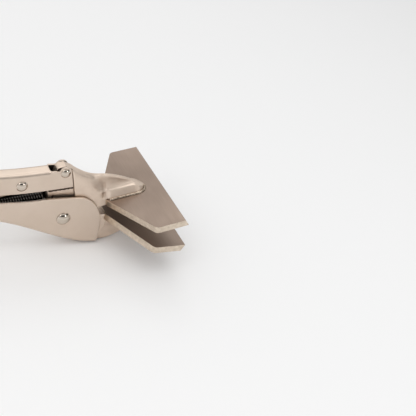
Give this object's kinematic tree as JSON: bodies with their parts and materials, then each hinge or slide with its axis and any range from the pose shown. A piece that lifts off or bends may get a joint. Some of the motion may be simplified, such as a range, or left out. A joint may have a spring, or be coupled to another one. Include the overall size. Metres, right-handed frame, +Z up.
{
  "type": "hand_seamer",
  "caption": "Locking hand seamer: wide flat blades on pivoted jaws, a toggle lever, adjusting screw, spring and release lever, for folding sheet metal edges.",
  "frame": {"origin": "middle of the lower blade's gripping face, halfway along its straight ends", "axes": "+X out of the blades, +Z up from the lower blade's gripping face to the upper blade, +Y along the blades"},
  "size_m": [0.1945, 0.08, 0.0647],
  "materials": {
    "plated_sheet": "satin nickel-plated pressed steel",
    "plated_forging": "satin nickel-plated forging",
    "blade": "matt nickel-plated plate with paler ground edges",
    "weld": "plated weld bead",
    "rivet": "bright plated dome heads",
    "screw": "plated screw with knurled head",
    "inner_steel": "dull plated steel",
    "spring_steel": "dark spring wire"
  },
  "bodies": {
    "frame": {"fixed_handle": "plated_sheet", "fixed_jaw": "plated_forging", "lower_blade": "blade", "lower_weld_bead": "weld", "jaw_rivet": "rivet", "screw_bush": "inner_steel", "spring": "spring_steel"},
    "jaw": {"movable_jaw": "plated_forging", "upper_blade": "blade", "upper_weld_bead": "weld"},
    "lever": {"lever": "plated_sheet", "lever_rivet": "rivet", "link_rivet": "rivet", "release_rivet": "rivet"},
    "link": {"toggle_link": "inner_steel"},
    "release": {"release_lever": "plated_sheet"},
    "screw": {"adjusting_screw": "screw"}
  },
  "joints": [
    {"name": "jaw_pivot", "type": "hinge", "parent": "frame", "child": "jaw", "pos_m": [-0.05625, 0, 0], "axis": [0, -1, 0], "range_deg": [0, 12], "deforming": ["spring"]},
    {"name": "lever_pivot", "type": "hinge", "parent": "jaw", "child": "lever", "pos_m": [-0.05911, 0, 0.03119], "axis": [0, 1, 0], "range_deg": [0, 54.1]},
    {"name": "link_pivot", "type": "hinge", "parent": "lever", "child": "link", "pos_m": [-0.08339, 0, 0.0234], "axis": [0, -1, 0], "range_deg": [0, 63.1]},
    {"name": "release_pivot", "type": "hinge", "parent": "lever", "child": "release", "pos_m": [-0.14225, 0, 0.029], "axis": [0, 1, 0], "range_deg": [0, 12]},
    {"name": "screw_turn", "type": "hinge", "parent": "frame", "child": "screw", "pos_m": [-0.16425, 0, 0.008], "axis": [1, 0, 0], "continuous": true}
  ],
  "couplings": [
    {"joint": "lever_pivot", "follows": "jaw_pivot", "ratio": 4.5},
    {"joint": "link_pivot", "follows": "jaw_pivot", "ratio": 5.25}
  ]
}
